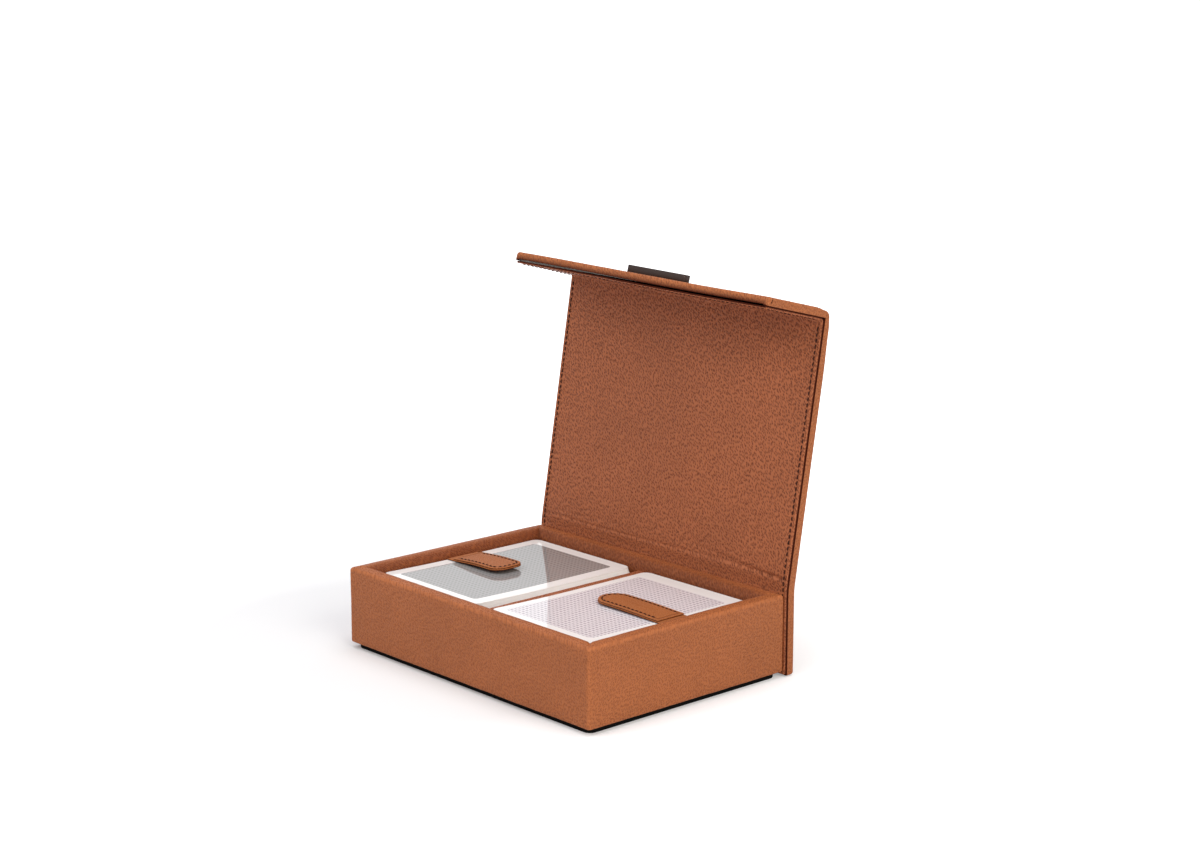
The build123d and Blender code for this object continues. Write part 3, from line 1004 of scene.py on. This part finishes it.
def card_outline(inset):
    """Outline of a card from the middle of its front edge, with a partner across for each point."""
    hx, hy, r = CARD_X - inset, CARD_Y - inset, CARD_R - inset
    right = [(0.02, -hy), (hx * 0.5, -hy)] + arc_points(hx - r, -hy + r, r, -90, 0, 8)
    right += [(hx, y) for y in np.linspace(-hy + r, hy - r, 26)[1:-1]]
    right += arc_points(hx - r, hy - r, r, 0, 90, 8) + [(hx * 0.5, hy), (0.02, hy)]
    return right + mirrored(right)


def card_rings(cx, cy, z, share, angle, rim=0.06):
    """Rings of one card, from its underside round its cut edge to its face."""
    rings = []
    c, s = cos(angle), sin(angle)
    for e, h in [(rim, 0.0), (0.0, rim), (0.0, CARD_T - rim), (rim, CARD_T)]:
        rings.append([
            (cx + x * c - y * s, cy + x * s + y * c, z + h + deck_bow(cy + y, share)) for x, y in card_outline(e)
        ])
    return rings


def make_deck(name, side, back, seed, slip):
    rng = np.random.default_rng(seed)
    cx = side * DECK_X
    gap = LOOSE / CARDS
    verts, faces = [], []
    for i in range(CARDS):
        share = max(0.0, (i - (CARDS - 16)) / 15.0) ** 1.4
        dx, dy = rng.normal(0, 0.05, 2)
        angle = rng.normal(0, 0.0006)
        z = DECK_LOW + i * (CARD_T + gap)
        dx += slip * eased((CARDS - 1 - i) / 9.0)
        if i == CARDS - 1:
            v, f = loft(card_rings(cx, DECK_Y, z, 1.0, 0.0))
            obj = new_object(f"{name}_top_card_printed", v, f, back)
            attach(obj, name)
            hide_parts(f"{name}_top_card")
        else:
            v, f = loft(card_rings(cx + dx, DECK_Y + dy, z, share, angle))
            base = len(verts)
            verts += list(v)
            faces += [tuple(base + k for k in q) for q in f]
    obj = new_object(f"{name}_stack", verts, faces, card_side)
    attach(obj, name)
    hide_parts(f"{name}_cards")


GREY_INK = (0.335, 0.33, 0.335), (0.19, 0.19, 0.195)
LAVENDER_INK = (0.84, 0.80, 0.85), (0.40, 0.36, 0.42)
left_back = card_back("card_back_grey", *GREY_INK, (-62.1, -11.0, -38.9, 38.1), (2.1, 2.1, 0.60, 0.60), 1.95)
right_back = card_back("card_back_lavender", *LAVENDER_INK, (8.9, 61.2, -38.9, 36.4), (2.4, 2.0, 0.42, 0.62), 1.65)
make_deck("left_deck", -1, left_back, 11, 1.2)
make_deck("right_deck", 1, right_back, 23, -0.3)


# ---- pull tabs and their straps
FOLD_X, FOLD_Z = 66.7, 31.75
BEND = 0.8
BEND_LENGTH = (BEND + 0.5) * pi / 2
STRAP = 1.0  # thickness
STRAP_CORNER = 1.6  # inner radius where the strap turns up beside the deck
CORNER_LENGTH = (STRAP_CORNER + 0.5) * pi / 2


def strap_point(length, rise, arch, s, t, h):
    """Place of a strap for the left side: s from the fold, t across, h out of its inner face.

    Below zero it is the riser beside the deck, and then the bend, then the tab.
    """
    if s <= -BEND_LENGTH:
        return (-FOLD_X - BEND - h, t, FOLD_Z + s + BEND_LENGTH)
    if s <= 0:
        a = pi / 2 - pi / 2 * (s / BEND_LENGTH)
        r = BEND + h
        return (-FOLD_X + r * cos(a), t, FOLD_Z + r * sin(a))
    k = s / length
    lift = rise * k ** 1.5 + arch * sin(pi * min(k, 1.0)) ** 2
    grade = (rise * 1.5 * k ** 0.5 + 2 * arch * pi * sin(pi * k) * cos(pi * k)) / length
    norm = hypot(1, grade)
    return (-FOLD_X + s - h * grade / norm, t, FOLD_Z + BEND + lift + h / norm)


def plan_loop(s0, s1, half, r0, r1, inset):
    """Plan of a ply, inset by a distance: straight at s0, rounded by r1 at its tip."""
    a, b, w = s0 + inset, s1 - inset, half - inset
    ra, rb = max(r0 - inset, 0.02), min(max(r1 - inset, 0.02), w - 0.01)
    ra = min(ra, w - 0.01)
    pts = []
    long_steps = np.arange(0, 1, 1 / 44.0)[1:]
    pts += [(a + ra, w)]
    pts += [(a + ra + (b - rb - a - ra) * t, w) for t in long_steps]
    pts += [(b - rb + rb * sin(q), w - rb + rb * cos(q)) for q in quarter(15)]
    right = pts + [(b, 0.0)]
    left = [(s, -t) for s, t in pts[::-1]]
    start = [(a + ra - ra * sin(q), -w + ra - ra * cos(q)) for q in np.linspace(0.2, pi / 2, 4)]
    start += [(a, 0.0)] + [(s, -t) for s, t in start[::-1]]
    return right + left + start


def ply_mesh(name, s0, s1, half, tip, h0, h1, place, groove_top=True):
    """One leather ply with rounded edges and a stitch groove, drawn flat and then bent."""
    r = 0.26
    thick = h1 - h0
    seam = 1.55
    max_in = half - 0.35
    rounding = [(r * (1 - sin(a)), r * (1 - cos(a))) for a in quarter(4)]
    bottom = [(i, h0) for i in (max_in, half * 0.6, 3.0, 1.2) if i > r]
    sides = [(e, h0 + g) for e, g in rounding] + [(e, h1 - g) for e, g in rounding[::-1]]
    top_in = [0.55, 0.85, seam - 0.45, seam - 0.2, seam, seam + 0.2, seam + 0.45, 2.6, 3.6, half * 0.7, max_in]
    groove = 0.16 if groove_top else 0.0
    top = [(i, h1 - groove * bump_at(i, seam, 0.32) + 0.06 * min(1.0, i / 3.0)) for i in sorted(top_in)]
    rings, edge = [], []
    for e, h in bottom + sides + top:
        loop = plan_loop(s0, s1, half, 0.5, tip, e)
        rings.append([place(s, t, h) for s, t in loop])
        # Dark edge paint on the lower half of the ply's sides; the stitch groove on top is darkened to 0.55 of it
        # as painted shade.
        on_side = e < 0.2 and h < h0 + 0.5 * thick
        in_groove = groove_top and h > h0 + 0.5 * thick and abs(e - seam) < 0.25
        edge += [1.0 if on_side else (0.55 if in_groove else 0.0)] * len(loop)
    verts, faces = loft(rings, caps=False)
    n = len(rings[0])
    faces += [tuple(range(n))[::-1], tuple(range(len(verts) - n, len(verts)))]
    return leather_attributes(new_object(name, verts, faces, tab_leather, sharp=60), edge=edge)


def make_tab(side_name, side, width, length, y, rise, arch, tip):
    flip = 1 if side < 0 else -1

    def at(s, t, h):
        p = strap_point(length, rise, arch, s, t, h)
        return (p[0] * flip, y + t, p[2])

    half, ply = width / 2, 0.66
    first = -BEND_LENGTH - 0.6
    lower = ply_mesh(f"{side_name}_tab_under_ply", first, length, half, tip, 0.0, ply, at, groove_top=False)
    plan = (3.0, length - 0.1, half - 0.1)
    upper = ply_mesh(f"{side_name}_tab_upper_ply_sewn", *plan, tip, ply, 1.34, at)
    sewn = 121  # points of a plan's two sides and tip, and one of its inner end
    chain = np.array(plan_loop(*plan, 0.5, tip, 1.65)[:sewn])
    steps = np.r_[0, np.cumsum(np.linalg.norm(np.diff(chain, axis=0), axis=1))]

    def place(d):
        s = np.interp(d, steps, chain[:, 0])
        t = np.interp(d, steps, chain[:, 1])
        p0, p1 = np.array(at(s, t, 1.25)), np.array(at(s, t, 2.25))
        return p0, p1 - p0

    rows = line_of_stitches(place, steps[-1] - 0.5, pitch=2.45)
    seam_obj = stitch_mesh(rows, thread, f"{side_name}_tab_stitching", length=2.0)
    start = metres((flip * (-FOLD_X - BEND - 0.5), y, FOLD_Z))
    end = metres((flip * -FOLD_X, y, FOLD_Z + BEND + 0.5))
    deck, tab = f"{side_name}_deck", f"{side_name}_tab"
    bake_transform(lower)
    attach(upper, tab)
    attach(seam_obj, tab)
    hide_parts(f"{side_name}_tab_lower_ply")
    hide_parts(f"{side_name}_tab_upper_ply")

    # the strap under the deck and up beside it
    def strap_at(path_s, t, h):
        """path_s runs from the divider along the floor, round the corner and up."""
        x_in = -FOLD_X - BEND  # inner face of the riser
        run = x_in + STRAP_CORNER  # where the floor run ends
        upper = FLOOR_SHEET + STRAP
        if path_s <= 0:
            return (run - path_s, t, upper - h)
        if path_s < CORNER_LENGTH:
            a = path_s / (STRAP_CORNER + 0.5)
            r = STRAP_CORNER + h
            return (run - r * sin(a), t, upper + STRAP_CORNER - r * cos(a))
        return (x_in - h, t, upper + STRAP_CORNER + path_s - CORNER_LENGTH)

    def strap_piece(name, p0, p1, steps):
        r = 0.3
        left = [(-half + r - r * cos(a), r - r * sin(a)) for a in quarter(4)]
        pts = left + [(v, 0.0) for v in np.linspace(-half + 1, half - 1, 9)] + mirrored(left)
        pts += [(v, STRAP - w) for v, w in pts[::-1]]
        rings = []
        for p in np.linspace(p0, p1, steps):
            places = [strap_at(p, t, h) for t, h in pts]
            rings.append([(x * flip, y + t, z) for x, t, z in places])
        return skin(name, rings, tab_leather)

    far = -(FOLD_X + BEND - STRAP_CORNER - 3.3)  # beside the divider
    run = strap_piece(f"{side_name}_strap_under_deck", far, 0.0, 24)
    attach(run, "tray")
    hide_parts(f"{side_name}_strap_run")
    top = CORNER_LENGTH + FOLD_Z - 0.5 - (FLOOR_SHEET + STRAP + STRAP_CORNER)
    riser = strap_piece(f"{side_name}_strap_side", 0.0, top, 30)
    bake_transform(riser)
    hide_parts(f"{side_name}_strap_riser")


make_tab("left", -1, 16.4, 33.4, 0.0, 1.5, 0.5, 5.5)
make_tab("right", 1, 15.2, 43.6, 2.6, 0.6, 0.3, 7.5)


# ---- clasp bar
def make_bar():
    """Dark metal bar with chamfered edges, on the flap's outer face."""
    u = FLAP_SPAN - 13.5
    half = (17.6, 1.8, 1.7)
    bm = bmesh.new()
    bmesh.ops.create_cube(bm, size=2.0)
    for v in bm.verts:
        v.co = Vector((v.co.x * half[0], v.co.y * half[1], v.co.z * half[2]))
    long_edges = [e for e in bm.edges if abs(e.verts[0].co.x - e.verts[1].co.x) > 1]
    bmesh.ops.subdivide_edges(bm, edges=long_edges, cuts=20)
    sharp = [e for e in bm.edges if e.calc_face_angle(0) > 0.5]
    bmesh.ops.bevel(bm, geom=sharp, offset=0.42, segments=3, profile=0.5, affect="EDGES")
    verts = []
    for v in bm.verts:
        x, a, o = v.co
        verts.append((x, *flap_point(u + a, x, flap_top(u) + half[2] + o)[1:]))
    faces = [tuple(v.index for v in f.verts) for f in bm.faces]
    bm.free()
    obj = new_object("clasp_bar_bevelled", verts, faces, metal, sharp=30)
    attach(obj, "flap")
    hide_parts("clasp_bar")


make_bar()


# ---- gathered leather at the flap's front corners
def tube(name, points, radii, material, sides=8):
    """Closed tapering tube through smooth points, for a small roll of leather."""
    points = np.array(points, float)
    steps = np.linspace(0, len(points) - 1, 6 * (len(points) - 1) + 1)
    path, size = [], []
    for t in steps:
        i = min(int(t), len(points) - 2)
        f = t - i
        before, after = points[max(i - 1, 0)], points[min(i + 2, len(points) - 1)]
        a, b = points[i], points[i + 1]
        square, cube = 2 * before - 5 * a + 4 * b - after, 3 * a - before - 3 * b + after
        path.append(0.5 * (2 * a + (b - before) * f + square * f ** 2 + cube * f ** 3))
        size.append(np.interp(t, range(len(radii)), radii))
    path = np.array(path)
    ahead = np.gradient(path, axis=0)
    rings = []
    for c, d, r in zip(path, ahead, size):
        d = d / np.linalg.norm(d)
        u = np.cross(d, (0.0, 0.0, 1.0) if abs(d[2]) < 0.9 else (0.0, 1.0, 0.0))
        u /= np.linalg.norm(u)
        v = np.cross(d, u)
        turns = np.linspace(0, 2 * pi, sides + 1)[:-1]
        rings.append([c + r * (cos(q) * u + sin(q) * v) for q in turns])
    verts, faces = loft(rings)
    return new_object(name, verts, faces, material, sharp=None)


def make_corner_fold(side, name):
    """Where the flap's leather is gathered round its corner: a roll lightened as a painted highlight, and a thin
    dark tube of painted shade in the slit beside it.
    """
    roll = [
        (77.35, 35.25, 1.35), (77.75, 34.95, 2.2), (77.85, 34.3, 3.1), (77.6, 33.9, 4.1), (76.9, 34.1, 4.72),
        (76.0, 34.9, 4.62),
    ]
    slit = [(77.6, 33.9, 1.9), (77.84, 33.55, 2.9), (77.72, 33.25, 3.9), (77.1, 33.3, 4.6), (76.2, 33.9, 4.93)]
    roll, slit = ([flap_point(u, side * x, w) for x, u, w in points] for points in (roll, slit))
    fold = tube(f"flap_corner_roll_{name}", roll, [0.30, 0.42, 0.46, 0.44, 0.38, 0.15], cover_leather)
    # Painted highlight: the whole roll is mixed halfway towards the lighter leather colour.
    leather_attributes(fold, wear_and_highlight=[0.5] * len(fold.data.vertices))
    # Painted shade: a thin tube in the dark edge colour lies in the slit beside the roll.
    shade = tube(f"flap_corner_slit_shade_{name}", slit, [0.14, 0.24, 0.27, 0.23, 0.10], cover_leather)
    leather_attributes(shade, edge=[1.0] * len(shade.data.vertices))
    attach(fold, "flap")
    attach(shade, "flap")


make_corner_fold(1, "right")
make_corner_fold(-1, "left")


# ---- CAD parts that stay
def repaint(material, *names):
    for name in names:
        slots = nodes[name].material_slots
        for slot in slots:
            slot.material = material
        if not slots:
            nodes[name].data.materials.append(material)


repaint(greyboard, "base_infill_card", "base_board", "divider_board", "spine_board", "lid_board", "flap_board")
repaint(greyboard, *(f"{side}_wall_board" for side in ("front", "rear", "left", "right")))
repaint(greyboard, "left_raised_floor", "right_raised_floor")
repaint(magnet, "tray_magnets", "flap_magnets")
repaint(metal, "bar_pins")


# ---- floor, light and camera
def seen_directly(tree):
    """1 for rays from the camera, from a gloss or through glass, which see a white studio."""
    path = tree.nodes.new("ShaderNodeLightPath")
    through = maths(tree, "MAXIMUM", path.outputs["Is Glossy Ray"], path.outputs["Is Transmission Ray"])
    return maths(tree, "MAXIMUM", path.outputs["Is Camera Ray"], through)


def make_floor():
    """Pale floor that keeps the shadow and fades into the white background."""
    mesh = bpy.data.meshes.new("studio_floor")
    r = 6.0
    mesh.from_pydata([(-r, -r, 0), (r, -r, 0), (r, r, 0), (-r, r, 0)], [], [(0, 1, 2, 3)])
    obj = in_scene("studio_floor", mesh)
    obj.location = (-0.06, -0.03, 0)
    mat, tree, shader = node_material("studio_floor")
    shader.inputs["Base Color"].default_value = (0.79, 0.79, 0.815, 1)
    shader.inputs["Roughness"].default_value = 0.9
    shader.inputs["Specular IOR Level"].default_value = 0.0
    reach = tree.nodes.new("ShaderNodeVectorMath")
    reach.operation = "LENGTH"
    link(object_place(tree), reach.inputs[0])
    away = ramp(tree, reach.outputs["Value"], [(0.10, grey(0.06)), (0.34, grey(1.0))])
    glow = add(tree, "ShaderNodeEmission", Color=(1, 1, 1, 1))
    link(times(tree, seen_directly(tree), away), glow.inputs["Strength"])
    both = tree.nodes.new("ShaderNodeAddShader")
    link(shader.outputs[0], both.inputs[0])
    link(glow.outputs[0], both.inputs[1])
    link(both.outputs[0], tree.nodes["Material Output"].inputs["Surface"])
    mesh.materials.append(mat)


def make_world():
    world = bpy.data.worlds.new("studio")
    bpy.context.scene.world = world
    world.use_nodes = True
    tree = world.node_tree
    sky = tree.nodes["Background"]
    strength = tree.nodes.new("ShaderNodeMix")
    strength.data_type = "FLOAT"
    link(seen_directly(tree), strength.inputs[0])
    strength.inputs[2].default_value = 0.50
    strength.inputs[3].default_value = 1.0
    sky.inputs["Color"].default_value = (1, 1, 1, 1)
    link(strength.outputs[0], sky.inputs["Strength"])


def aim(obj, place, ahead):
    """Puts a lamp or the camera at a place and turns it to look ahead."""
    obj.location = place
    obj.rotation_mode = "QUATERNION"
    obj.rotation_quaternion = ahead.to_track_quat("-Z", "Y")


def area_lamp(name, place, target, size, power, colour=(1, 1, 1)):
    lamp = bpy.data.lights.new(name, "AREA")
    lamp.shape = "RECTANGLE"
    lamp.size, lamp.size_y = size
    lamp.energy = power
    lamp.color = colour
    aim(in_scene(name, lamp), place, Vector(target) - Vector(place))


def make_camera():
    azimuth, elevation = radians(47.86), radians(12.42)
    level, distance = cos(elevation), 1.0172
    back = Vector((sin(azimuth) * level, -cos(azimuth) * level, sin(elevation)))
    target = Vector((4.04, 17.74, 103.0)) * MM
    data = bpy.data.cameras.new("camera")
    data.sensor_width = 36.0
    data.lens = 72.6
    data.clip_start, data.clip_end = 0.02, 50.0
    obj = in_scene("camera", data)
    aim(obj, target + back * distance, -back)
    bpy.context.scene.camera = obj


make_floor()
make_world()
area_lamp("key", (1.3, -0.25, 0.70), (0, 0, 0.05), (0.9, 0.9), 10.6, (1.0, 0.99, 0.86))
area_lamp("front", (-0.35, -1.0, 1.05), (0, 0, 0.05), (1.0, 0.7), 6.0)
area_lamp("top", (0.05, 0.05, 1.4), (0, 0, 0), (0.9, 0.9), 8.0)
make_camera()

scene = bpy.context.scene
scene.view_settings.view_transform = "Standard"
